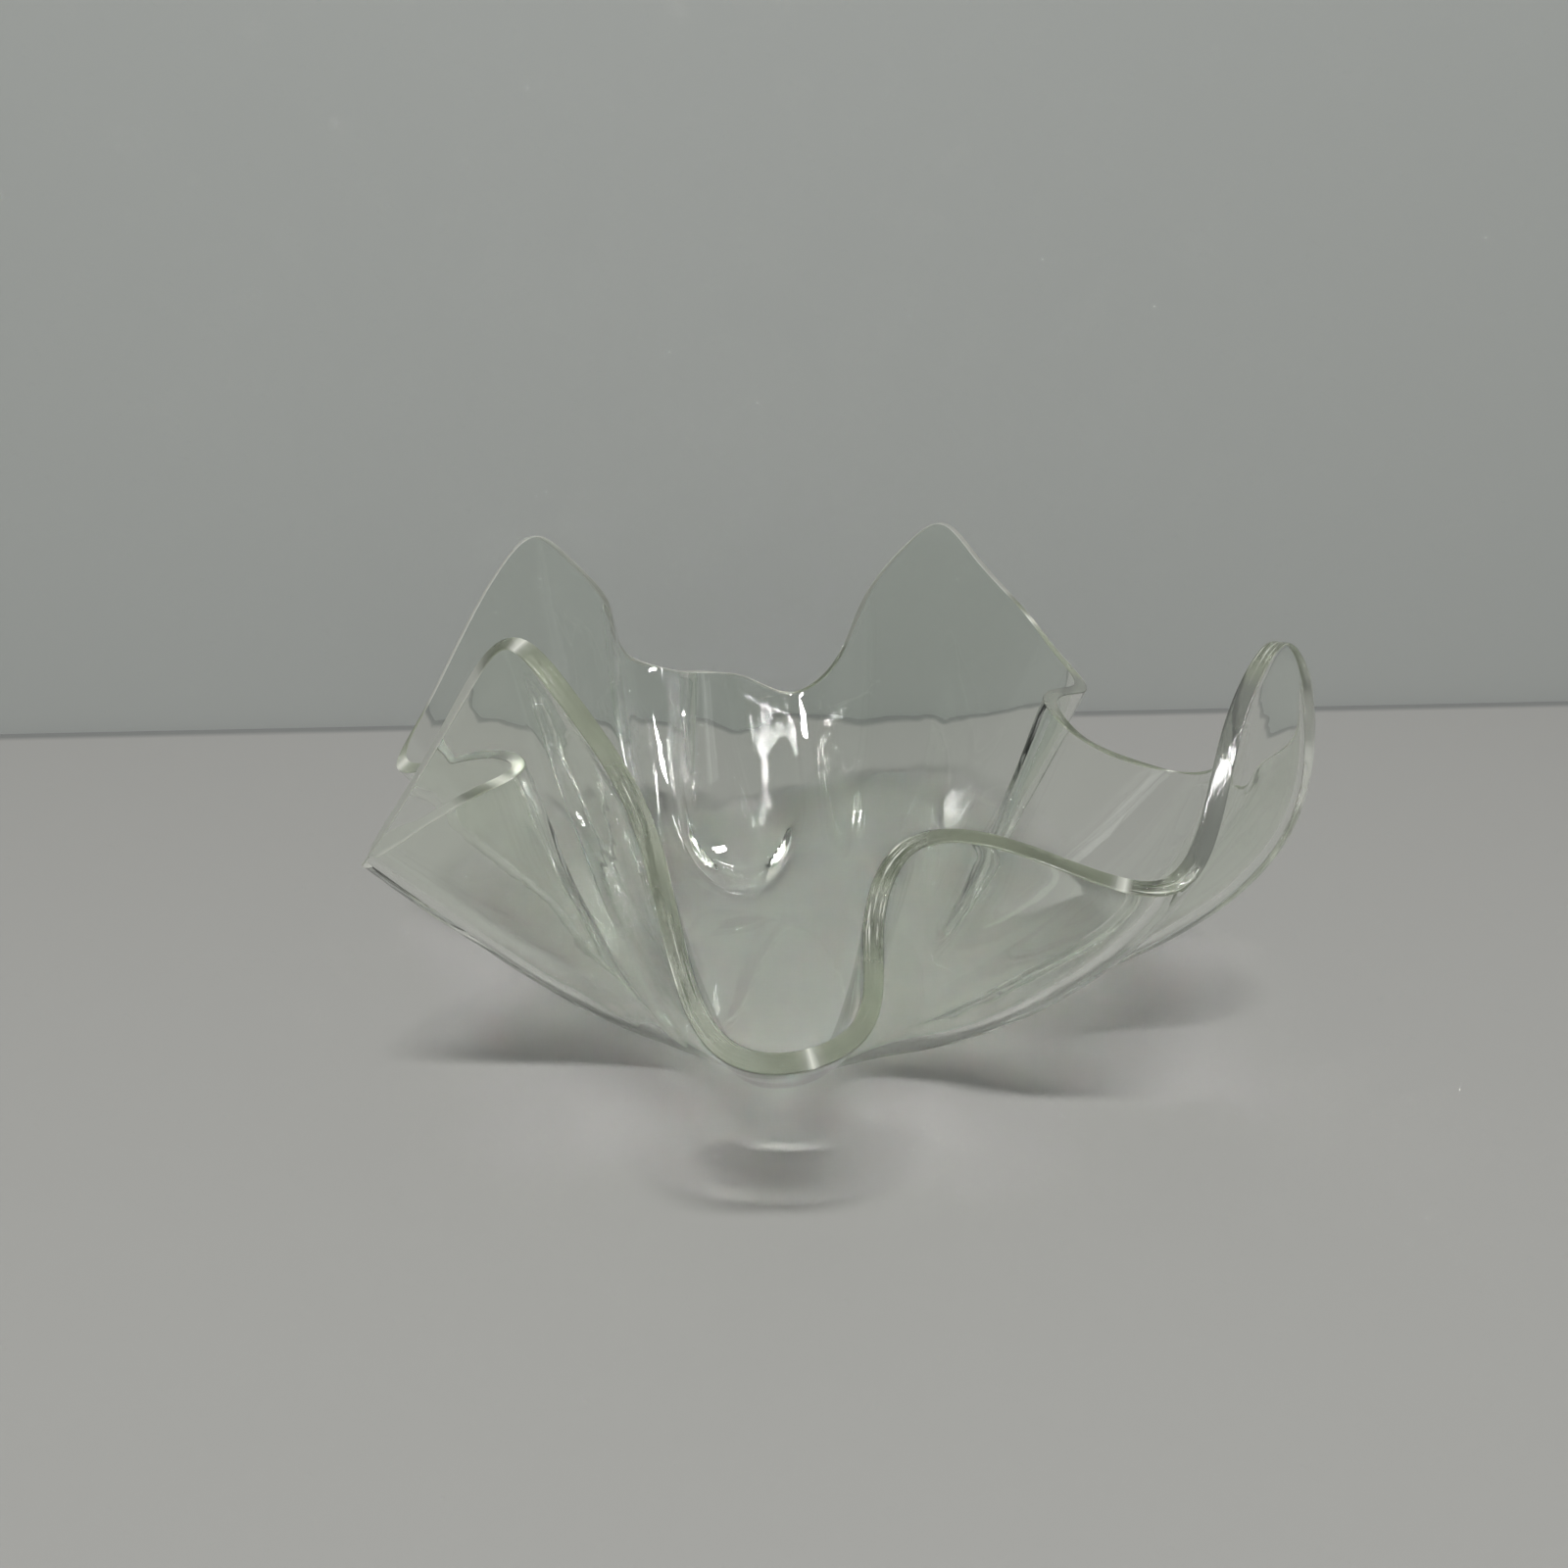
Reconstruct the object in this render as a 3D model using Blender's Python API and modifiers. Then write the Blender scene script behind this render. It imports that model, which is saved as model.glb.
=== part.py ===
"""Handkerchief bowl: one square sheet of clear acrylic, softened by heat and draped into a bowl.

The middle of the sheet stays a flat round floor. Rays run from the edge of the floor to the rim, and
the rim climbs to the four corners of the sheet, with one fold pressed in halfway along each side.
Metres, +Z up. The origin is the centre of the flat underside, and the front side faces -Y.
"""

import bpy
import numpy as np

# Sheet and floor
THICKNESS = 0.006
FLOOR_RADIUS = 0.056
EDGE_EASE = 0.0005

# The sheet lies turned by this angle: its front side faces a little to the right of -Y
SHEET_TURN = np.radians(12)

# A ray leaves the floor level, and this share of its span is the leg of that bend: one share at the
# front and the sides, and a longer one straight towards the back
BEND_SHARE = 0.15
BACK_BEND_SHARE = 0.45

# Mesh density
RAYS = 156
WALL_RINGS = 11
LEVEL_RIM_SHARE = 0.86

# The rim, by side, from one corner of the sheet to the next.
# Each station: share of the side walked, then X, Y and height of the rim, and how far the wall bows
# out below it, all four in millimetres.
FRONT_SIDE = (
    (0.00, -80, -134, 202, 0),
    (0.05, -65, -142, 191, 0),
    (0.15, -43, -158, 160, 0),
    (0.25, -32, -175, 124, 0),
    (0.33, -16, -185, 99, 0),
    (0.42, 19, -172, 99, 0),
    (0.50, 24, -145, 117, 0),
    (0.58, 37, -122, 133, 0),
    (0.67, 72, -123, 132, 4),
    (0.77, 113, -137, 126, 8),
    (0.86, 130, -122, 149, 16),
    (0.95, 144, -98, 178, 22),
)
RIGHT_SIDE = (
    (0.00, 157, -86, 188, 26),
    (0.05, 169, -80, 172, 30),
    (0.11, 174, -70, 151, 34),
    (0.20, 171, -40, 131, 26),
    (0.34, 171, 4, 104, 6),
    (0.42, 146, 12, 107, 0),
    (0.49, 119, 6, 122, 0),
    (0.53, 111, 16, 129, 0),
    (0.60, 118, 36, 130, 0),
    (0.67, 132, 56, 126, 0),
    (0.76, 128, 92, 131, 0),
    (0.85, 115, 115, 146, 0),
    (0.95, 92, 141, 169, 2),
)
BACK_SIDE = (
    (0.00, 78, 152, 181, 4),
    (0.05, 63, 158, 171, 2),
    (0.15, 41, 166, 138, 0),
    (0.24, 29, 175, 104, 0),
    (0.34, 2, 177, 81, 0),
    (0.42, -19, 156, 94, 0),
    (0.50, -33, 124, 110, 0),
    (0.60, -52, 124, 111, 0),
    (0.68, -62, 154, 102, 0),
    (0.77, -90, 156, 111, 0),
    (0.86, -96, 142, 142, 0),
    (0.95, -113, 126, 171, 2),
)
LEFT_SIDE = (
    (0.00, -124, 113, 182, 4),
    (0.05, -136, 101, 172, 2),
    (0.15, -153, 75, 143, 0),
    (0.25, -166, 47, 116, 0),
    (0.33, -170, 22, 103, 0),
    (0.42, -145, -8, 114, 0),
    (0.50, -121, -26, 126, 0),
    (0.60, -101, -58, 133, 0),
    (0.69, -126, -86, 127, 0),
    (0.77, -139, -110, 122, 0),
    (0.86, -118, -126, 152, 0),
    (0.95, -94, -133, 188, 0),
)
SIDES = (FRONT_SIDE, RIGHT_SIDE, BACK_SIDE, LEFT_SIDE)
MILLIMETRE = 0.001

ACRYLIC_COLOUR = (0.78, 0.84, 0.80, 1.0)
ACRYLIC_ROUGHNESS = 0.04
ACRYLIC_IOR = 1.49


def clear_scene():
    for obj in list(bpy.data.objects):
        bpy.data.objects.remove(obj, do_unlink=True)


def named_collection(name):
    collection = bpy.data.collections.new(name)
    bpy.context.scene.collection.children.link(collection)
    return collection


def closed_spline(knots, values, at):
    """Cubic spline through values at knots in 0 to 1, closing on itself.

    The second derivatives at the knots solve the cyclic three-term system that makes the slopes
    agree at every knot, and each span is then its own cubic.
    """
    count = len(knots)
    span = np.diff(np.append(knots, knots[0] + 1))
    rise = (np.roll(values, -1, axis=0) - values) / span[:, None]
    here = np.arange(count)
    before = np.roll(here, 1)
    after = np.roll(here, -1)
    system = np.zeros((count, count))
    system[here, before] = span[before]
    system[here, here] = 2 * (span[before] + span)
    system[here, after] = span
    bend = np.linalg.solve(system, 6 * (rise - rise[before]))
    piece = np.searchsorted(knots, at, side="right") - 1
    width = span[piece][:, None]
    done = (at - knots[piece])[:, None]
    left = width - done
    following = after[piece]
    return (
        (bend[piece] * left**3 + bend[following] * done**3) / (6 * width)
        + (values[piece] / width - bend[piece] * width / 6) * left
        + (values[following] / width - bend[following] * width / 6) * done
    )


def rim_stations():
    """Knots from 0 to 1 round the whole rim, and the rows of place and bow at them, in metres."""
    knots = [(side + row[0]) / len(SIDES) for side, rows in enumerate(SIDES) for row in rows]
    rows = [row[1:] for rows in SIDES for row in rows]
    return np.array(knots), np.array(rows) * MILLIMETRE


def sheet_azimuth(around):
    """Direction, in the flat sheet, of the rim point that lies this far round the square."""
    walked = around * len(SIDES)
    side = np.floor(walked)
    along = walked - side - 0.5
    return np.arctan2(along, 0.5) + (side - 1) * np.pi / 2 + SHEET_TURN


def bend_share(azimuth):
    """Share of a ray's span over which the floor runs on: it grows towards the back as sine squared."""
    to_back = np.clip(np.sin(azimuth), 0, 1) ** 2
    return BEND_SHARE + (BACK_BEND_SHARE - BEND_SHARE) * to_back


def wall_rays():
    """Grid of mid-surface points: ring by ring from the floor's edge out to the rim.

    A ray is a quadratic curve: it starts on the floor's edge, leaves it level and radially, and
    ends on the rim. The bow pushes it outward by a hump that is zero at both ends.
    """
    around = np.arange(RAYS) / RAYS
    stations = closed_spline(*rim_stations(), around)
    rim, bow = stations[:, :3], stations[:, 3:]
    azimuth = sheet_azimuth(around)
    radial = np.stack([np.cos(azimuth), np.sin(azimuth), np.zeros(RAYS)], axis=1)
    start = FLOOR_RADIUS * radial + [0, 0, THICKNESS / 2]
    span = np.linalg.norm(rim - start, axis=1, keepdims=True)
    turn = start + bend_share(azimuth)[:, None] * span * radial
    outward = rim * [1, 1, 0]
    outward /= np.linalg.norm(outward, axis=1, keepdims=True)
    share = np.linspace(0, 1, WALL_RINGS + 1)[:, None, None]
    hump_peak = 256 / 27
    hump = hump_peak * share**3 * (1 - share)
    ray = (1 - share) ** 2 * start + 2 * share * (1 - share) * turn + share**2 * rim
    return ray + hump * bow * outward


def sheet_mesh(name):
    """The open mid-surface: one flat face, a level ring round it, and the wall's rings."""
    wall = wall_rays()
    level = wall[0] * [LEVEL_RIM_SHARE, LEVEL_RIM_SHARE, 1]
    rings = np.concatenate([level[None], wall])
    here = np.arange(RAYS)
    beside = np.roll(here, -1)
    faces = [tuple(here)]
    for ring in range(len(rings) - 1):
        inner = ring * RAYS
        outer = inner + RAYS
        quads = np.stack([inner + here, outer + here, outer + beside, inner + beside], axis=1)
        faces += [tuple(quad) for quad in quads.tolist()]
    mesh = bpy.data.meshes.new(name)
    mesh.from_pydata(rings.reshape(-1, 3).tolist(), [], faces)
    mesh.shade_smooth()
    return mesh


def acrylic():
    material = bpy.data.materials.new("clear_acrylic")
    material.use_nodes = True
    shader = material.node_tree.nodes["Principled BSDF"]
    shader.inputs["Base Color"].default_value = ACRYLIC_COLOUR
    shader.inputs["Roughness"].default_value = ACRYLIC_ROUGHNESS
    shader.inputs["Metallic"].default_value = 0.0
    shader.inputs["IOR"].default_value = ACRYLIC_IOR
    shader.inputs["Transmission Weight"].default_value = 1.0
    return material


def draped_sheet(collection):
    """The bowl: the mid-surface given its thickness to both sides, with its cut edge eased."""
    sheet = bpy.data.objects.new("draped_sheet", sheet_mesh("draped_sheet"))
    collection.objects.link(sheet)
    wall = sheet.modifiers.new("wall", "SOLIDIFY")
    wall.thickness = THICKNESS
    wall.offset = 0
    wall.use_even_offset = True
    ease = sheet.modifiers.new("eased edge", "BEVEL")
    ease.width = EDGE_EASE
    ease.segments = 1
    ease.limit_method = "ANGLE"
    ease.angle_limit = np.radians(60)
    sheet.data.materials.append(acrylic())
    return sheet


clear_scene()
draped_sheet(named_collection("handkerchief_bowl"))
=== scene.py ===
"""Looks of a handkerchief bowl: a square sheet of clear acrylic, draped while it was soft.

The sheet is worked out again here as a fine surface in the same frame as the solids, in metres, with
+Z up and the front at -Y, and takes their place. It has two polished faces and a cut edge with a
finish of its own.
"""

from math import radians

import bpy
import numpy as np
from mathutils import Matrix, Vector


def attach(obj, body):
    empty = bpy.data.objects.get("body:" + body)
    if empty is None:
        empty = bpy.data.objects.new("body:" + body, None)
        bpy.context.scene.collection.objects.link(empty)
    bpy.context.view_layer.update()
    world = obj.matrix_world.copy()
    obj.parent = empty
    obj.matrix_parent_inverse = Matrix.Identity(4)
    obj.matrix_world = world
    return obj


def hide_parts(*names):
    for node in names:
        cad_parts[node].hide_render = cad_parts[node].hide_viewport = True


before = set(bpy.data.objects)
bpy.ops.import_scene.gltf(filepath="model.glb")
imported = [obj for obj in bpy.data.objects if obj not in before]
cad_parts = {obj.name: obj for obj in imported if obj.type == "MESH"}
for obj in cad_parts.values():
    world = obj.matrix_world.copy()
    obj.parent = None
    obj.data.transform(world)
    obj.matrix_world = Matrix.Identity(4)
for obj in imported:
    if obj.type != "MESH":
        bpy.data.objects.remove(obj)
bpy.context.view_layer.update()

# Sheet and floor
THICKNESS = 0.006
FLOOR_RADIUS = 0.056
EDGE_EASE = 0.0006

# The sheet lies turned by this angle: its front side faces a little to the right of -Y
SHEET_TURN = radians(12)

# A ray leaves the floor level, and this share of its span is the leg of that bend: one share at the
# front and the sides, and a longer one straight towards the back
BEND_SHARE = 0.15
BACK_BEND_SHARE = 0.45

# The rim, by side, from one corner of the sheet to the next.
# Each station: share of the side walked, then X, Y and height of the rim, and how far the wall bows
# out below it, all four in millimetres.
FRONT_SIDE = (
    (0.00, -80, -134, 202, 0),
    (0.05, -65, -142, 191, 0),
    (0.15, -43, -158, 160, 0),
    (0.25, -32, -175, 124, 0),
    (0.33, -16, -185, 99, 0),
    (0.42, 19, -172, 99, 0),
    (0.50, 24, -145, 117, 0),
    (0.58, 37, -122, 133, 0),
    (0.67, 72, -123, 132, 4),
    (0.77, 113, -137, 126, 8),
    (0.86, 130, -122, 149, 16),
    (0.95, 144, -98, 178, 22),
)
RIGHT_SIDE = (
    (0.00, 157, -86, 188, 26),
    (0.05, 169, -80, 172, 30),
    (0.11, 174, -70, 151, 34),
    (0.20, 171, -40, 131, 26),
    (0.34, 171, 4, 104, 6),
    (0.42, 146, 12, 107, 0),
    (0.49, 119, 6, 122, 0),
    (0.53, 111, 16, 129, 0),
    (0.60, 118, 36, 130, 0),
    (0.67, 132, 56, 126, 0),
    (0.76, 128, 92, 131, 0),
    (0.85, 115, 115, 146, 0),
    (0.95, 92, 141, 169, 2),
)
BACK_SIDE = (
    (0.00, 78, 152, 181, 4),
    (0.05, 63, 158, 171, 2),
    (0.15, 41, 166, 138, 0),
    (0.24, 29, 175, 104, 0),
    (0.34, 2, 177, 81, 0),
    (0.42, -19, 156, 94, 0),
    (0.50, -33, 124, 110, 0),
    (0.60, -52, 124, 111, 0),
    (0.68, -62, 154, 102, 0),
    (0.77, -90, 156, 111, 0),
    (0.86, -96, 142, 142, 0),
    (0.95, -113, 126, 171, 2),
)
LEFT_SIDE = (
    (0.00, -124, 113, 182, 4),
    (0.05, -136, 101, 172, 2),
    (0.15, -153, 75, 143, 0),
    (0.25, -166, 47, 116, 0),
    (0.33, -170, 22, 103, 0),
    (0.42, -145, -8, 114, 0),
    (0.50, -121, -26, 126, 0),
    (0.60, -101, -58, 133, 0),
    (0.69, -126, -86, 127, 0),
    (0.77, -139, -110, 122, 0),
    (0.86, -118, -126, 152, 0),
    (0.95, -94, -133, 188, 0),
)
SIDES = (FRONT_SIDE, RIGHT_SIDE, BACK_SIDE, LEFT_SIDE)
MILLIMETRE = 0.001

# Mesh density of the fine sheet
RAYS = 760
WALL_RINGS = 44
FLOOR_RINGS = 6
EDGE_ROWS = 12

# Unevenness that heating leaves in a face: how many waves there are, how steep each one is, the range
# of their lengths, the rings over which they grow from nothing, and the seed of each face's waves
WAVE_COUNT = 16
WAVE_SLOPE = 0.0055
WAVE_LENGTHS = (0.022, 0.085)
CALM_RINGS = 16
INNER_SEED = 3
OUTER_SEED = 8

# The rounded foot of the back fold. Round the rim, from 0 to 1: its middle and its half width, and
# then the share of that half over which a flank falls off. Up a ray, from 0 to 1: where it starts,
# how much higher it starts at its sides, and how far it takes to rise. Then its depth in metres,
# which shrinks up the ray to nothing at the rim.
FOOT_MIDDLE = 0.632
FOOT_HALF = 0.052
FOOT_FLANK = 0.45
FOOT_START = 0.20
FOOT_SIDE_LIFT = 0.40
FOOT_RISE = 0.12
FOOT_DEPTH = 0.012

# The cut edge, in metres walked along the rim from the front left corner. A stretch has a start and
# an end, fades in and out, and is evenly dull or darker. A spot has a middle and a half width, and
# shows the streaks of the saw with painted highlight and shade lines, or a painted glint.
DULL_STRETCHES = ((0.430, 0.535), (0.740, 0.900), (0.930, 1.300), (1.455, 1.606))
SHADED_STRETCHES = ((0.322, 0.402), (0.615, 0.690), (1.345, 1.435))
STRETCH_FADE = 0.012
STREAKED_SPOTS = (
    (0.056, 0.009),
    (0.108, 0.016),
    (0.210, 0.012),
    (0.232, 0.011),
    (0.317, 0.010),
    (0.410, 0.010),
)
# Painted glints: white spots painted on the cut edge where a lamp's glint would show
PAINTED_GLINTS = (
    (0.003, 0.002),
    (0.157, 0.002),
    (0.307, 0.0025),
    (0.560, 0.003),
    (0.731, 0.006),
    (1.330, 0.007),
    (1.447, 0.006),
)

# Acrylic: its refractive index, and its tint as pairs of colours that its cloudiness passes between,
# in front and at the back, where the darker back pair is painted shade on the far side of the bowl,
# with the span of Y in metres over which the one gives way to the other
ACRYLIC_IOR = 1.49
FRONT_TINTS = ((0.962, 0.990, 0.945, 1), (0.980, 0.996, 0.965, 1))
SHADED_BACK_TINTS = ((0.880, 0.925, 0.872, 1), (0.905, 0.940, 0.898, 1))
TINT_SPAN = (0.05, 0.13)
CLOUD_SCALE = 14.0

# Orange peel of the polished faces, with its height in metres
PEEL_SCALE = 90.0
PEEL_HEIGHT = 0.00006

# Ridges of the cut edge: their slant, their scale along and across it, their height in metres, the
# share of that height where there are no streaks, and the spans of their noise that make the painted
# shade lines and the painted highlight lines
RIDGE_SLANT = radians(3)
RIDGE_SCALE = (40, 1000, 1)
RIDGE_HEIGHT = 0.0006
EVEN_RIDGES = 0.25
PAINTED_SHADE_SPAN = (0.36, 0.46)
PAINTED_HIGHLIGHT_SPAN = (0.54, 0.62)

# Milkiness of the cut edge: the scale of its patches, the span of their noise with how milky they are
# at its two ends, the share of it that streaks leave, and how milky a dull stretch is
PATCH_SCALE = (22, 60, 1)
PATCH_SPAN = (0.35, 0.65)
PATCH_MILK = (0.40, 0.65)
STREAKED_MILK = 0.3
DULL_MILK = 0.85

# Roughness of the cut edge's clear part, where it is even and where it is streaked or shaded
EVEN_ROUGHNESS = 0.12
SHARP_ROUGHNESS = 0.03

# Colours of the cut edge: of its clear part, of its painted shade lines, and of its painted
# highlights and glints, whose white also lets light through its dull stretches; then pairs for its
# patches where it is even, dull or shaded, and as light from behind shines through it
OLIVE = (0.74, 0.80, 0.66, 1)
PAINTED_SHADE_LINE = (0.05, 0.055, 0.045, 1)
PAINTED_HIGHLIGHT_AND_MILK_WHITE = (0.98, 0.98, 0.92, 1)
EVEN_PATCHES = ((0.265, 0.295, 0.21, 1), (0.345, 0.375, 0.285, 1))
DULL_PATCHES = ((0.46, 0.465, 0.44, 1), (0.52, 0.525, 0.50, 1))
SHADED_PATCHES = ((0.23, 0.24, 0.225, 1), (0.31, 0.32, 0.30, 1))
LIT_PATCHES = ((0.55, 0.60, 0.465, 1), (0.65, 0.70, 0.575, 1))

# Camera: a 27 mm view from in front, looking down
CAMERA_PLACE = (-0.003, -0.453, 0.295)
CAMERA_PITCH = radians(23.2)
CAMERA_LENS = 27.05
SENSOR_WIDTH = 36.0

# Stage: how far it reaches, where the backdrop stands at X 0 and how much it slants, and the strip of
# painted shade along its foot, with the span of its width over which that shade darkens
STAGE_REACH = 4.0
BACKDROP_Y = 0.3597
BACKDROP_SLANT = 0.0617
JOINT_WIDTH = 0.016
JOINT_SPAN = (0.1, 0.6)
FLOOR_Z = -0.0004
FLOOR_COLOUR = (0.325, 0.321, 0.308, 1)
BACKDROP_COLOUR = (0.325, 0.337, 0.325, 1)
JOINT_SHADE_COLOUR = (0.190, 0.195, 0.190, 1)
STAGE_ROUGHNESS = 0.6

# Lamps: the place, aim, width and depth, and watts of each
KEY_LAMP = ((0, -2.1, 3.9), (0, 0, 0), (1.7, 0.18), 149)
FILL_LAMP = ((0, -0.1, 2.2), (0, 0.1, 0), (1.8, 1.8), 4)
FRONT_LAMP = ((0, -2.6, 0.6), (0, 0.36, 0.3), (2.4, 1.0), 9)

# Surroundings: the light they give, from low to high; what faces mirror, from in front to behind,
# with the span of the direction's Y between; and what is seen of them directly
LIGHT_GIVEN = ((0.51, 0.52, 0.505, 1), (0.18, 0.185, 0.18, 1))
MIRRORED = ((0.15, 0.153, 0.15, 1), (0.90, 0.91, 0.89, 1))
MIRRORED_SPAN = (-0.1, 0.3)
SEEN = (0.38, 0.385, 0.375, 1)

# Turns that light may take on its way through the folded clear sheet
BOUNCES = 24


def closed_spline(knots, values, at):
    """Cubic spline through values at knots in 0 to 1, closing on itself.

    The second derivatives at the knots solve the cyclic three-term system that makes the slopes
    agree at every knot, and each span is then its own cubic.
    """
    count = len(knots)
    span = np.diff(np.append(knots, knots[0] + 1))
    rise = (np.roll(values, -1, axis=0) - values) / span[:, None]
    here = np.arange(count)
    before = np.roll(here, 1)
    after = np.roll(here, -1)
    system = np.zeros((count, count))
    system[here, before] = span[before]
    system[here, here] = 2 * (span[before] + span)
    system[here, after] = span
    bend = np.linalg.solve(system, 6 * (rise - rise[before]))
    piece = np.searchsorted(knots, at, side="right") - 1
    width = span[piece][:, None]
    done = (at - knots[piece])[:, None]
    left = width - done
    following = after[piece]
    return (
        (bend[piece] * left**3 + bend[following] * done**3) / (6 * width)
        + (values[piece] / width - bend[piece] * width / 6) * left
        + (values[following] / width - bend[following] * width / 6) * done
    )


def rim_stations():
    """Knots from 0 to 1 round the whole rim, and the rows of place and bow at them, in metres."""
    knots = [(side + row[0]) / len(SIDES) for side, rows in enumerate(SIDES) for row in rows]
    rows = [row[1:] for rows in SIDES for row in rows]
    return np.array(knots), np.array(rows) * MILLIMETRE


def sheet_azimuth(around):
    """Direction, in the flat sheet, of the rim point that lies this far round the square.

    It is the arctangent of the way along its side from the side's middle, over half a side, with a
    quarter turn more for each side walked and the sheet's own turn.
    """
    walked = around * len(SIDES)
    side = np.floor(walked)
    along = walked - side - 0.5
    return np.arctan2(along, 0.5) + (side - 1) * np.pi / 2 + SHEET_TURN


def bend_share(azimuth):
    """Share of a ray's span over which the floor runs on: it grows towards the back as sine squared."""
    to_back = np.clip(np.sin(azimuth), 0, 1) ** 2
    return BEND_SHARE + (BACK_BEND_SHARE - BEND_SHARE) * to_back


def middle_surface():
    """Grid of the sheet's middle, ring by ring from near the centre of the floor out to the rim.

    The floor's rings are level circles. A wall ray is a quadratic curve that leaves the floor's edge
    level and radially and ends on the rim, less the edge's easing. The bow pushes it outward by a
    hump, the cube of the share walked times the share left, which is zero at both ends.
    """
    around = np.arange(RAYS) / RAYS
    stations = closed_spline(*rim_stations(), around)
    rim, bow = stations[:, :3], stations[:, 3:]
    azimuth = sheet_azimuth(around)
    radial = np.stack([np.cos(azimuth), np.sin(azimuth), np.zeros(RAYS)], axis=1)
    start = FLOOR_RADIUS * radial + [0, 0, THICKNESS / 2]
    span = np.linalg.norm(rim - start, axis=1, keepdims=True)
    turn = start + bend_share(azimuth)[:, None] * span * radial
    outward = rim * [1, 1, 0]
    outward /= np.linalg.norm(outward, axis=1, keepdims=True)
    share = np.linspace(0, 1, WALL_RINGS + 1)[:, None, None] * (1 - EDGE_EASE / span)
    hump_peak = 256 / 27
    hump = hump_peak * share**3 * (1 - share)
    wall = (1 - share) ** 2 * start + 2 * share * (1 - share) * turn + share**2 * rim
    wall = wall + hump * bow * outward
    floor_share = (np.arange(FLOOR_RINGS) + 0.5)[:, None, None] / FLOOR_RINGS
    floor_share = floor_share * [1, 1, 0] + [0, 0, 1]
    return np.concatenate([start * floor_share, wall])


def grid_normals(grid):
    """Unit normals of a ring grid that closes round: the ray tangent crossed with the ring tangent."""
    ring_way = np.roll(grid, -1, axis=1) - np.roll(grid, 1, axis=1)
    ray_way = np.gradient(grid, axis=0)
    normals = np.cross(ray_way, ring_way)
    return normals / np.linalg.norm(normals, axis=2, keepdims=True)


def smooth_step(value):
    """0 below 0, 1 above 1, and three squares less two cubes of the value between."""
    value = np.clip(value, 0, 1)
    return value**2 * (3 - 2 * value)


def fold_foot(rings, rays):
    """How far the foot of the back fold stands in from the even wall, over the whole grid.

    Up a ray it rises with a smooth step, from a start that climbs with the square of the distance
    to the fold's middle, and fades evenly to the rim. Across the rays it falls off at both flanks
    with a smooth step.
    """
    share = np.clip((np.arange(rings) - FLOOR_RINGS) / WALL_RINGS, 0, 1)[:, None]
    aside = (np.arange(rays) / rays - FOOT_MIDDLE) / FOOT_HALF
    start = FOOT_START + FOOT_SIDE_LIFT * aside**2
    risen = smooth_step((share - start) / FOOT_RISE) * (1 - share)
    return FOOT_DEPTH * risen * smooth_step((1 - np.abs(aside)) / FOOT_FLANK)


def face_waves(grid, seed):
    """How far a face stands off its even place, over the whole grid, in metres.

    It is a sum of sine waves along fixed directions in space, each as high as its length times one
    steepness, and it fades to nothing over the floor.
    """
    draw = np.random.default_rng(seed)
    ways = draw.normal(size=(WAVE_COUNT, 3))
    ways /= np.linalg.norm(ways, axis=1, keepdims=True)
    lengths = draw.uniform(*WAVE_LENGTHS, WAVE_COUNT)
    phases = draw.uniform(0, 2 * np.pi, WAVE_COUNT)
    turns = 2 * np.pi / lengths
    waves = np.sin((grid @ ways.T) * turns + phases) * (WAVE_SLOPE / turns)
    calm = np.clip(np.arange(len(grid)) / CALM_RINGS, 0, 1)[:, None]
    return waves.sum(axis=2) * calm


def edge_rings(rim, across, out, over_half, under_half):
    """Rings of the cut edge from the inner face to the outer one.

    Each ring is moved across the sheet by the cosine of an angle and out past the rim by its sine,
    over a quarter round of the easing at either face, so that the edge is flat with small soft
    corners.
    """
    corner = np.linspace(0, np.pi / 2, EDGE_ROWS // 2 + 1)[1:, None]
    sunk = EDGE_EASE * (1 - np.cos(corner))
    past = EDGE_EASE * np.sin(corner)
    over = np.concatenate([over_half - sunk, -(under_half - sunk[::-1])])
    past = np.concatenate([past, past[::-1]])
    return rim + over[:, :, None] * across + past[:, :, None] * out


def sheet_rings():
    """Rings of the closed sheet, up its inner face, over its cut edge and down its outer face.

    Either face lies off the middle surface, along its normals, by half the thickness and its own
    waves. The middle surface's last ring, the rim, comes with them.
    """
    grid = middle_surface()
    grid = grid + fold_foot(*grid.shape[:2])[:, :, None] * grid_normals(grid)
    normals = grid_normals(grid)
    over = THICKNESS / 2 + face_waves(grid, INNER_SEED)
    under = THICKNESS / 2 + face_waves(grid, OUTER_SEED)
    inner = grid + over[:, :, None] * normals
    outer = grid - under[:, :, None] * normals
    rim = grid[-1]
    out = rim - grid[-2]
    out /= np.linalg.norm(out, axis=1, keepdims=True)
    edge = edge_rings(rim, normals[-1], out, over[-1], under[-1])
    return np.concatenate([inner, edge, outer[::-1]]), rim


def rim_steps(rim):
    """Length of the step along the rim from each ray to the next, closing round."""
    return np.linalg.norm(np.roll(rim, -1, axis=0) - rim, axis=1)


def stretch_share(walked, stretches):
    """1 inside the stretches of the edge and 0 outside, with a smooth step between them."""
    ends = np.array(stretches)
    inside = np.minimum(walked[:, None] - ends[:, 0], ends[:, 1] - walked[:, None])
    return smooth_step(inside / STRETCH_FADE).max(axis=1)


def spot_share(walked, spots):
    """A bell round each spot: e to the minus square of the distance in half widths."""
    spots = np.array(spots)
    off = (walked[:, None] - spots[:, 0]) / spots[:, 1]
    return np.exp(-off**2).max(axis=1)


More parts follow.
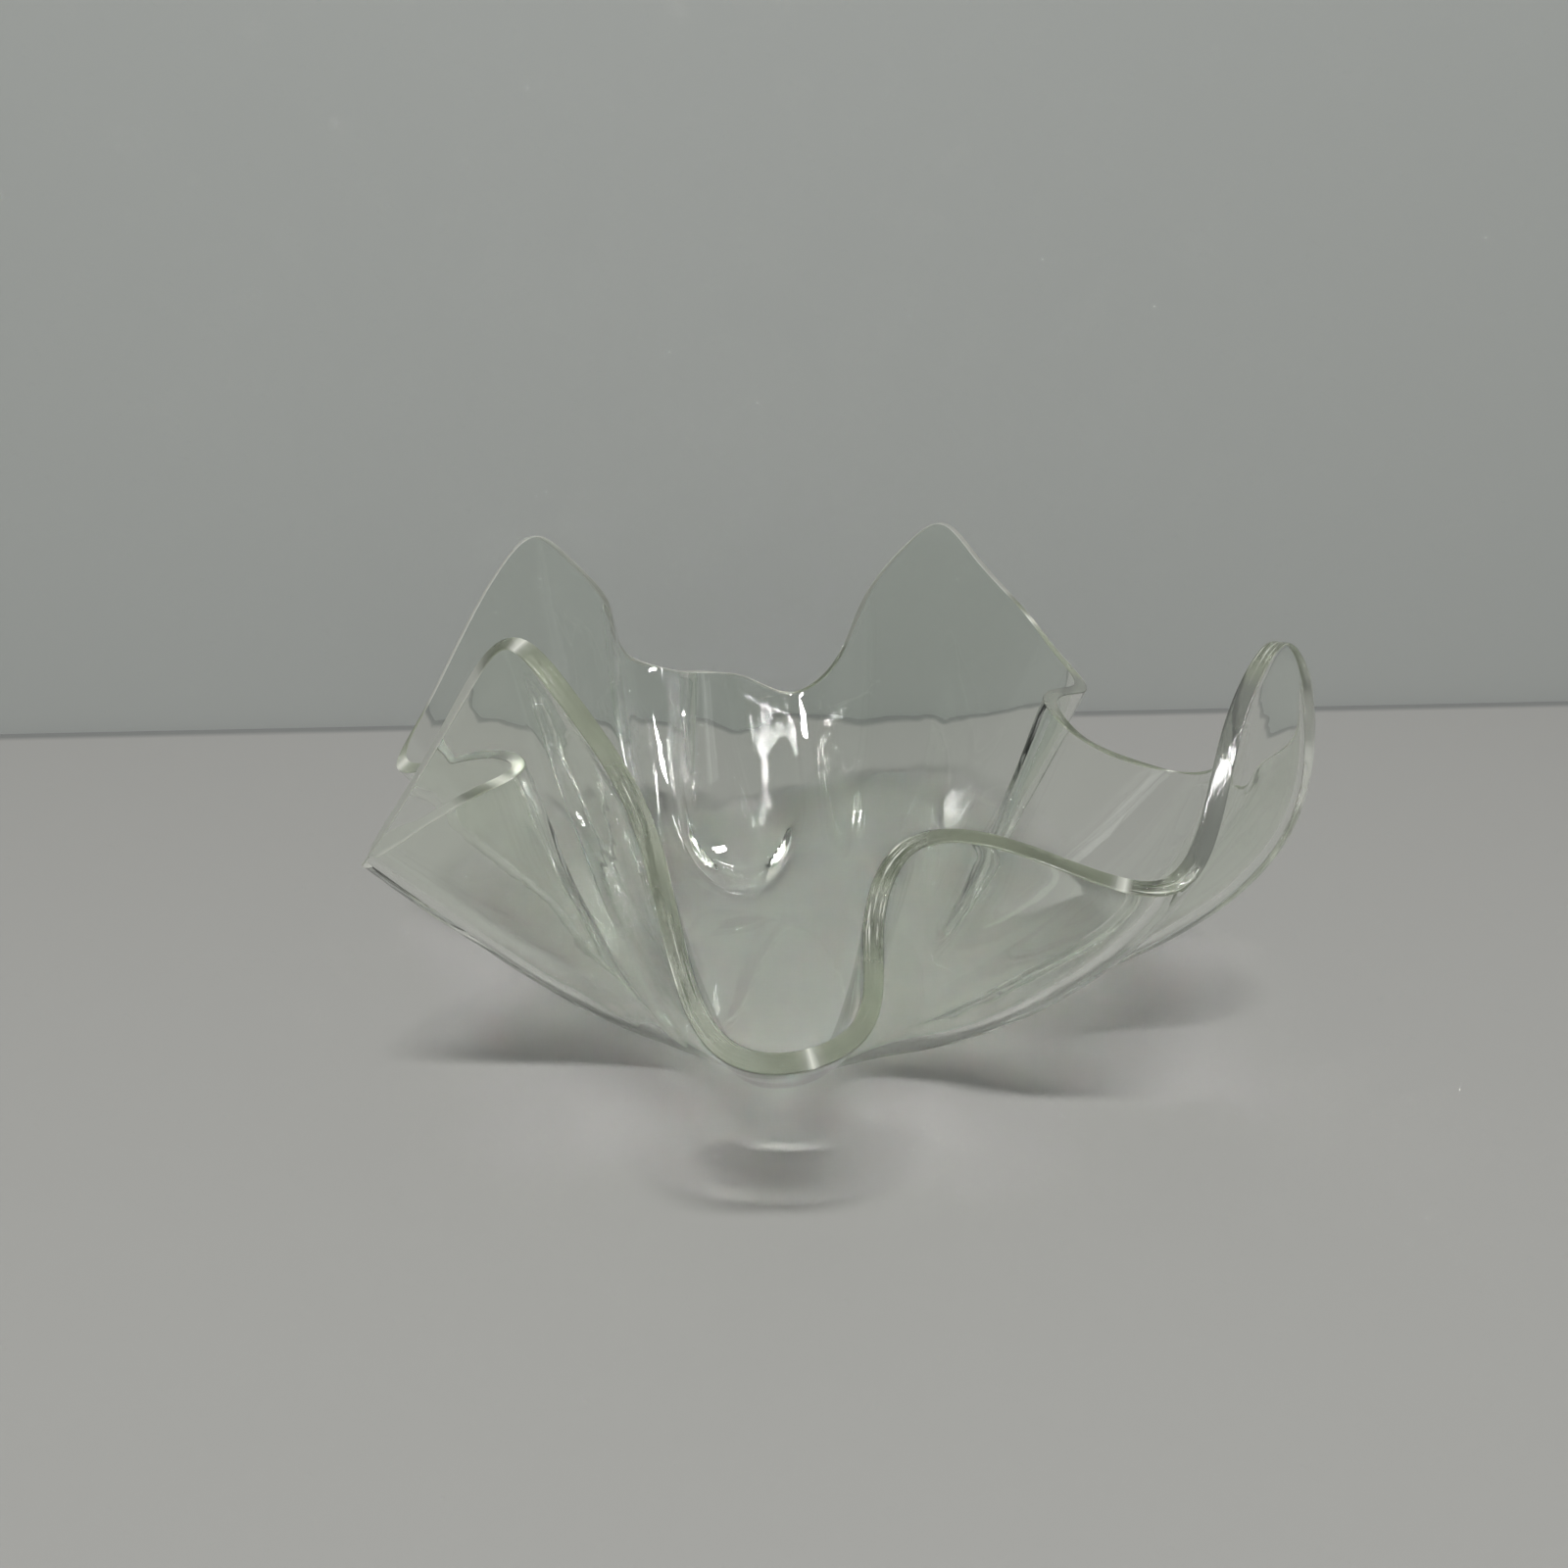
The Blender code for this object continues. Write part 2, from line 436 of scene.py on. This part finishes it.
def mark_shares(mesh, rim, count):
    """Writes what each part of the cut edge is like into the mesh, the same on every ring."""
    steps = rim_steps(rim)
    walked = np.cumsum(steps) - steps
    shares = {
        "dull": stretch_share(walked, DULL_STRETCHES),
        "shaded": stretch_share(walked, SHADED_STRETCHES),
        "streaked": spot_share(walked, STREAKED_SPOTS),
        "painted_glint": spot_share(walked, PAINTED_GLINTS),
    }
    for label, share in shares.items():
        values = np.append(np.tile(share, count), [0, 0]).astype(np.float32)
        mesh.attributes.new(label, "FLOAT", "POINT").data.foreach_set("value", values)


def mark_edge(mesh):
    """Gives the quads of the cut edge their own material slot."""
    face_rings = FLOOR_RINGS + WALL_RINGS + 1
    slots = np.zeros(len(mesh.polygons), np.int32)
    slots[(face_rings - 1) * RAYS:(face_rings + EDGE_ROWS) * RAYS] = 1
    mesh.polygons.foreach_set("material_index", slots)


def map_rings(mesh, rings, rim):
    """Gives the quads their UV: metres walked along the rim, and metres walked across the rings."""
    steps = rim_steps(rim)
    ends = np.cumsum(steps)
    starts = ends - steps
    across = np.linalg.norm(np.diff(rings, axis=0), axis=2).mean(axis=1)
    across = np.append(0, np.cumsum(across))
    u = np.stack([starts, starts, ends, ends], axis=1)
    v = np.stack([across[:-1], across[1:], across[1:], across[:-1]], axis=1)
    u, v = np.broadcast_arrays(u[None], v[:, None])
    quads = np.stack([u, v], axis=3).reshape(-1, 2)
    corners = np.zeros((len(mesh.loops), 2), np.float32)
    corners[:len(quads)] = quads
    mesh.uv_layers.new(name="along_and_across").data.foreach_set("uv", corners.ravel())


def sheet_faces(count):
    """Quads from ring to ring, and a fan of triangles at the centre of either face."""
    number = np.arange(count * RAYS).reshape(count, RAYS)
    beside = np.roll(number, -1, axis=1)
    quads = np.stack([number[:-1], number[1:], beside[1:], beside[:-1]], axis=2)
    top, bottom = np.full(RAYS, count * RAYS), np.full(RAYS, count * RAYS + 1)
    inner_fan = np.stack([number[0], beside[0], top], axis=1)
    outer_fan = np.stack([beside[-1], number[-1], bottom], axis=1)
    return quads.reshape(-1, 4).tolist() + inner_fan.tolist() + outer_fan.tolist()


def sheet_mesh(name):
    """The closed sheet as one mesh, whose last two points are the centres of its faces."""
    rings, rim = sheet_rings()
    count = len(rings)
    points = np.concatenate([rings.reshape(-1, 3), [[0, 0, THICKNESS], [0, 0, 0]]])
    mesh = bpy.data.meshes.new(name)
    mesh.from_pydata(points.tolist(), [], sheet_faces(count))
    mark_edge(mesh)
    map_rings(mesh, rings, rim)
    mark_shares(mesh, rim, count)
    mesh.shade_smooth()
    return mesh


def principled(name):
    """A new material, its node tree and its Principled shader."""
    material = bpy.data.materials.new(name)
    material.use_nodes = True
    tree = material.node_tree
    return material, tree, tree.nodes["Principled BSDF"]


def feed(tree, value, socket):
    """Links another socket to this one, or puts a plain value on it."""
    if isinstance(value, bpy.types.NodeSocket):
        tree.links.new(value, socket)
    else:
        socket.default_value = value


def noise(tree, vector, scale, detail=2.0, roughness=0.5):
    """A noise texture over a vector socket."""
    node = tree.nodes.new("ShaderNodeTexNoise")
    node.inputs["Scale"].default_value = scale
    node.inputs["Detail"].default_value = detail
    node.inputs["Roughness"].default_value = roughness
    tree.links.new(vector, node.inputs["Vector"])
    return node.outputs["Fac"]


def noise_along(tree, scale, slant=0.0, detail=2.0, roughness=0.5):
    """A noise over the metres walked along the rim and across it, scaled and slanted."""
    node = tree.nodes.new("ShaderNodeMapping")
    node.inputs["Rotation"].default_value = (0, 0, slant)
    node.inputs["Scale"].default_value = scale
    tree.links.new(tree.nodes.new("ShaderNodeUVMap").outputs["UV"], node.inputs["Vector"])
    return noise(tree, node.outputs["Vector"], 1.0, detail, roughness)


def spread(tree, value, span, ends=(0, 1)):
    """Maps a value in a straight line from its span to the two ends, and holds it there."""
    node = tree.nodes.new("ShaderNodeMapRange")
    for label, number in zip(("From Min", "From Max", "To Min", "To Max"), (*span, *ends)):
        node.inputs[label].default_value = number
    tree.links.new(value, node.inputs["Value"])
    return node.outputs["Result"]


def arithmetic(tree, operation, first, second):
    """Two values, sockets or plain numbers, put together by one operation."""
    node = tree.nodes.new("ShaderNodeMath")
    node.operation = operation
    feed(tree, first, node.inputs[0])
    feed(tree, second, node.inputs[1])
    return node.outputs["Value"]


def mixed(tree, mask, first, second):
    """A colour between two, sockets or plain colours, by a mask."""
    node = tree.nodes.new("ShaderNodeMix")
    node.data_type = "RGBA"
    colours = [socket for socket in node.inputs if socket.type == "RGBA"]
    feed(tree, first, colours[0])
    feed(tree, second, colours[1])
    tree.links.new(mask, node.inputs["Factor"])
    return next(socket for socket in node.outputs if socket.type == "RGBA")


def mixed_shaders(tree, mask, first, second):
    """A shader between two, by a mask; without one it is half of each."""
    node = tree.nodes.new("ShaderNodeMixShader")
    if mask is not None:
        tree.links.new(mask, node.inputs["Fac"])
    tree.links.new(first, node.inputs[1])
    tree.links.new(second, node.inputs[2])
    return node.outputs["Shader"]


def bumped(tree, height, distance):
    """A normal bent by a height that stands for this many metres at full white."""
    node = tree.nodes.new("ShaderNodeBump")
    node.inputs["Strength"].default_value = 1.0
    node.inputs["Distance"].default_value = distance
    tree.links.new(height, node.inputs["Height"])
    return node.outputs["Normal"]


def apart(tree, vector, part):
    """One part, X, Y or Z, of a vector socket."""
    node = tree.nodes.new("ShaderNodeSeparateXYZ")
    tree.links.new(vector, node.inputs["Vector"])
    return node.outputs[part]


def tint_and_shade_group():
    """Shared tint of the acrylic: grey-green and slightly cloudy, with painted shade darkening it
    towards the back.
    """
    group = bpy.data.node_groups.new("acrylic_tint_and_shade", "ShaderNodeTree")
    group.interface.new_socket("Place", in_out="INPUT", socket_type="NodeSocketVector")
    group.interface.new_socket("Color", in_out="OUTPUT", socket_type="NodeSocketColor")
    place = group.nodes.new("NodeGroupInput").outputs["Place"]
    cloud = noise(group, place, CLOUD_SCALE)
    front = mixed(group, cloud, *FRONT_TINTS)
    back = mixed(group, cloud, *SHADED_BACK_TINTS)
    # Painted shade: over this span of Y the darker back pair takes over from the front pair
    depth = spread(group, apart(group, place, "Y"), TINT_SPAN)
    tint = mixed(group, depth, front, back)
    group.links.new(tint, group.nodes.new("NodeGroupOutput").inputs["Color"])
    return group


def tinted_and_shaded(tree):
    """The shared tint at this place of the piece, with its painted shade towards the back."""
    node = tree.nodes.new("ShaderNodeGroup")
    node.node_tree = bpy.data.node_groups.get("acrylic_tint_and_shade") or tint_and_shade_group()
    place = tree.nodes.new("ShaderNodeTexCoord").outputs["Object"]
    tree.links.new(place, node.inputs["Place"])
    return node.outputs["Color"]


def clear(shader):
    """Makes a Principled shader clear acrylic."""
    shader.inputs["IOR"].default_value = ACRYLIC_IOR
    shader.inputs["Transmission Weight"].default_value = 1.0


def polished_face():
    """Clear acrylic with a polished face: the shared tint, with painted shade towards the back, and a
    little orange peel.
    """
    material, tree, shader = principled("polished_acrylic")
    clear(shader)
    shader.inputs["Roughness"].default_value = 0.0
    tree.links.new(tinted_and_shaded(tree), shader.inputs["Base Color"])
    place = tree.nodes.new("ShaderNodeTexCoord").outputs["Object"]
    peel = noise(tree, place, PEEL_SCALE, detail=1.0)
    tree.links.new(bumped(tree, peel, PEEL_HEIGHT), shader.inputs["Normal"])
    return material


def share_along(tree, label):
    """One of the shares that the mesh holds of what its cut edge is like."""
    node = tree.nodes.new("ShaderNodeAttribute")
    node.attribute_name = label
    return node.outputs["Fac"]


def finish_clear_edge(tree, shader, ridges, dull, shaded, streaked):
    """The clear part of the cut edge: olive unless dull, and sharp where it is streaked or shaded."""
    clear(shader)
    tree.links.new(mixed(tree, dull, OLIVE, tinted_and_shaded(tree)), shader.inputs["Base Color"])
    sharp = arithmetic(tree, "MAXIMUM", streaked, shaded)
    roughness = spread(tree, sharp, (0, 1), (EVEN_ROUGHNESS, SHARP_ROUGHNESS))
    tree.links.new(roughness, shader.inputs["Roughness"])
    depth = spread(tree, streaked, (0, 1), (EVEN_RIDGES, 1))
    bent = bumped(tree, arithmetic(tree, "MULTIPLY", ridges, depth), RIDGE_HEIGHT)
    tree.links.new(bent, shader.inputs["Normal"])


def milky_edge(tree, patches, dull, shaded, painted_shade_lines, painted_highlights):
    """The milky part of the cut edge: half shows its face with painted shade and highlights, half lets
    light through.
    """
    shade = mixed(tree, patches, *SHADED_PATCHES)
    face = mixed(tree, shaded, mixed(tree, patches, *EVEN_PATCHES), shade)
    face = mixed(tree, dull, face, mixed(tree, patches, *DULL_PATCHES))
    # Painted shade lines and painted highlights go onto the colour of the face
    face = mixed(tree, painted_shade_lines, face, PAINTED_SHADE_LINE)
    shown = tree.nodes.new("ShaderNodeBsdfDiffuse")
    tree.links.new(mixed(tree, painted_highlights, face, PAINTED_HIGHLIGHT_AND_MILK_WHITE), shown.inputs["Color"])
    lit = mixed(tree, shaded, mixed(tree, patches, *LIT_PATCHES), shade)
    through = tree.nodes.new("ShaderNodeBsdfTranslucent")
    tree.links.new(mixed(tree, dull, lit, PAINTED_HIGHLIGHT_AND_MILK_WHITE), through.inputs["Color"])
    return mixed_shaders(tree, None, shown.outputs["BSDF"], through.outputs["BSDF"])


def milkiness(tree, patches, dull, streaked, painted_shade_lines, painted_highlights):
    """How much of the cut edge is milky: patches that streaks clear, dull stretches, and all painted
    lines and glints.
    """
    cloudy = spread(tree, patches, PATCH_SPAN, PATCH_MILK)
    cloudy = arithmetic(tree, "MULTIPLY", cloudy, spread(tree, streaked, (0, 1), (1, STREAKED_MILK)))
    cloudy = arithmetic(tree, "MAXIMUM", cloudy, arithmetic(tree, "MULTIPLY", dull, DULL_MILK))
    return arithmetic(tree, "MAXIMUM", cloudy, arithmetic(tree, "MAXIMUM", painted_highlights, painted_shade_lines))


def cut_edge():
    """The sawn and flame-polished edge: clear acrylic with milky patches, streaks of the saw, and
    painted highlights, glints and shade lines.
    """
    material, tree, shader = principled("cut_edge")
    labels = ("dull", "shaded", "streaked", "painted_glint")
    dull, shaded, streaked, painted_glint = (share_along(tree, label) for label in labels)
    ridges = noise_along(tree, RIDGE_SCALE, RIDGE_SLANT, detail=3.0, roughness=0.6)
    patches = noise_along(tree, PATCH_SCALE)
    # Painted highlights: white lines along the saw's ridges where streaked, and the painted glints
    painted_highlights = arithmetic(tree, "MULTIPLY", spread(tree, ridges, PAINTED_HIGHLIGHT_SPAN), streaked)
    painted_highlights = arithmetic(tree, "MAXIMUM", painted_highlights, painted_glint)
    # Painted shade: dark lines along the saw's ridges where streaked
    painted_shade_lines = arithmetic(tree, "MULTIPLY", spread(tree, ridges, PAINTED_SHADE_SPAN, (1, 0)), streaked)
    finish_clear_edge(tree, shader, ridges, dull, shaded, streaked)
    milky = milky_edge(tree, patches, dull, shaded, painted_shade_lines, painted_highlights)
    mask = milkiness(tree, patches, dull, streaked, painted_shade_lines, painted_highlights)
    edge = mixed_shaders(tree, mask, shader.outputs["BSDF"], milky)
    tree.links.new(edge, tree.nodes["Material Output"].inputs["Surface"])
    return material


def draped_sheet():
    """The one piece, which takes the place of the solid sheet."""
    sheet = bpy.data.objects.new("fine_sheet", sheet_mesh("fine_sheet"))
    bpy.context.scene.collection.objects.link(sheet)
    sheet.data.materials.append(polished_face())
    sheet.data.materials.append(cut_edge())
    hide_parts("draped_sheet")
    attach(sheet, "root")


def matt(name, colour):
    """A plain matt material, with its node tree and its shader."""
    material, tree, shader = principled(name)
    shader.inputs["Base Color"].default_value = colour
    shader.inputs["Roughness"].default_value = STAGE_ROUGHNESS
    return material, tree, shader


def joint_shade():
    """Painted shade where floor and backdrop meet: it darkens from the floor's tone to its own."""
    material, tree, shader = matt("joint_shade", JOINT_SHADE_COLOUR)
    across = apart(tree, tree.nodes.new("ShaderNodeUVMap").outputs["UV"], "Y")
    nearing = spread(tree, across, JOINT_SPAN)
    tree.links.new(mixed(tree, nearing, FLOOR_COLOUR, JOINT_SHADE_COLOUR), shader.inputs["Base Color"])
    return material


def backdrop():
    """A matt backdrop that is see-through from its back, so that the bowl can be seen from behind."""
    material, tree, shader = matt("backdrop", BACKDROP_COLOUR)
    back = tree.nodes.new("ShaderNodeNewGeometry").outputs["Backfacing"]
    see_through = tree.nodes.new("ShaderNodeBsdfTransparent").outputs["BSDF"]
    surface = mixed_shaders(tree, back, shader.outputs["BSDF"], see_through)
    tree.links.new(surface, tree.nodes["Material Output"].inputs["Surface"])
    return material


def stage_plane(name, corners, material):
    """A flat stage piece with one quad, whose UV runs from 0 to 1 from its first side to the third."""
    mesh = bpy.data.meshes.new(name)
    mesh.from_pydata(corners, [], [(0, 1, 2, 3)])
    mesh.uv_layers.new(name="across").data.foreach_set("uv", [0.0, 0.0, 1.0, 0.0, 1.0, 1.0, 0.0, 1.0])
    mesh.materials.append(material)
    plane = bpy.data.objects.new(name, mesh)
    bpy.context.scene.collection.objects.link(plane)


def backdrop_line(x, before=0.0, height=FLOOR_Z):
    """A point of the slanting backdrop at this x and height, or so far in front of it."""
    return (x, BACKDROP_Y + BACKDROP_SLANT * x - before, height)


def stage():
    """A plain floor that runs on behind the backdrop, the backdrop, and a strip of painted shade
    between them.
    """
    left, right, near, far = -STAGE_REACH, STAGE_REACH, -STAGE_REACH, STAGE_REACH
    floor, _, _ = matt("floor", FLOOR_COLOUR)
    floor_end = [backdrop_line(right, JOINT_WIDTH), backdrop_line(left, JOINT_WIDTH)]
    foot = [backdrop_line(left), backdrop_line(right)]
    top = [backdrop_line(right, height=STAGE_REACH), backdrop_line(left, height=STAGE_REACH)]
    stage_plane("floor", [(left, near, FLOOR_Z), (right, near, FLOOR_Z)] + floor_end, floor)
    stage_plane("floor_behind", foot + [(right, far, FLOOR_Z), (left, far, FLOOR_Z)], floor)
    stage_plane("joint_shade", floor_end[::-1] + foot[::-1], joint_shade())
    stage_plane("backdrop", foot + top, backdrop())


def softbox(name, place, aim, size, watts):
    """A rectangular lamp at a place, turned to its aim."""
    lamp = bpy.data.lights.new(name, "AREA")
    lamp.shape = "RECTANGLE"
    lamp.size, lamp.size_y = size
    lamp.energy = watts
    box = bpy.data.objects.new(name, lamp)
    bpy.context.scene.collection.objects.link(box)
    box.location = place
    box.rotation_mode = "QUATERNION"
    box.rotation_quaternion = (Vector(place) - Vector(aim)).to_track_quat("Z", "Y")
    return box


def lamps():
    """A long key lamp above the front, and two wide soft ones that leave no mirror image."""
    softbox("key", *KEY_LAMP)
    softbox("fill", *FILL_LAMP).visible_glossy = False
    softbox("front", *FRONT_LAMP).visible_glossy = False


def surroundings():
    """Grey surroundings: they give soft light, are mirrored dark in front and at the sides and light
    behind, and are plain grey where they are seen directly."""
    world = bpy.data.worlds.new("surroundings")
    bpy.context.scene.world = world
    world.use_nodes = True
    tree = world.node_tree
    way = tree.nodes.new("ShaderNodeTexCoord").outputs["Generated"]
    given = mixed(tree, spread(tree, apart(tree, way, "Z"), (0, 1)), *LIGHT_GIVEN)
    mirrored = mixed(tree, spread(tree, apart(tree, way, "Y"), MIRRORED_SPAN), *MIRRORED)
    path = tree.nodes.new("ShaderNodeLightPath")
    colour = mixed(tree, path.outputs["Is Glossy Ray"], SEEN, mirrored)
    colour = mixed(tree, path.outputs["Is Diffuse Ray"], colour, given)
    tree.links.new(colour, tree.nodes["Background"].inputs["Color"])


def camera():
    """The view of the photo."""
    view = bpy.data.cameras.new("camera")
    view.lens = CAMERA_LENS
    view.sensor_width = SENSOR_WIDTH
    eye = bpy.data.objects.new("camera", view)
    bpy.context.scene.collection.objects.link(eye)
    eye.location = CAMERA_PLACE
    eye.rotation_euler = (radians(90) - CAMERA_PITCH, 0, 0)
    bpy.context.scene.camera = eye


def light_paths():
    """Enough turns for light to find its way out of the sheet, with its glints left as they are."""
    cycles = bpy.context.scene.cycles
    cycles.sample_clamp_indirect = 0
    cycles.blur_glossy = 0.0
    cycles.max_bounces = BOUNCES
    cycles.transmission_bounces = BOUNCES
    cycles.glossy_bounces = BOUNCES


camera()
draped_sheet()
stage()
lamps()
surroundings()
light_paths()
bpy.context.scene.view_settings.view_transform = "Standard"
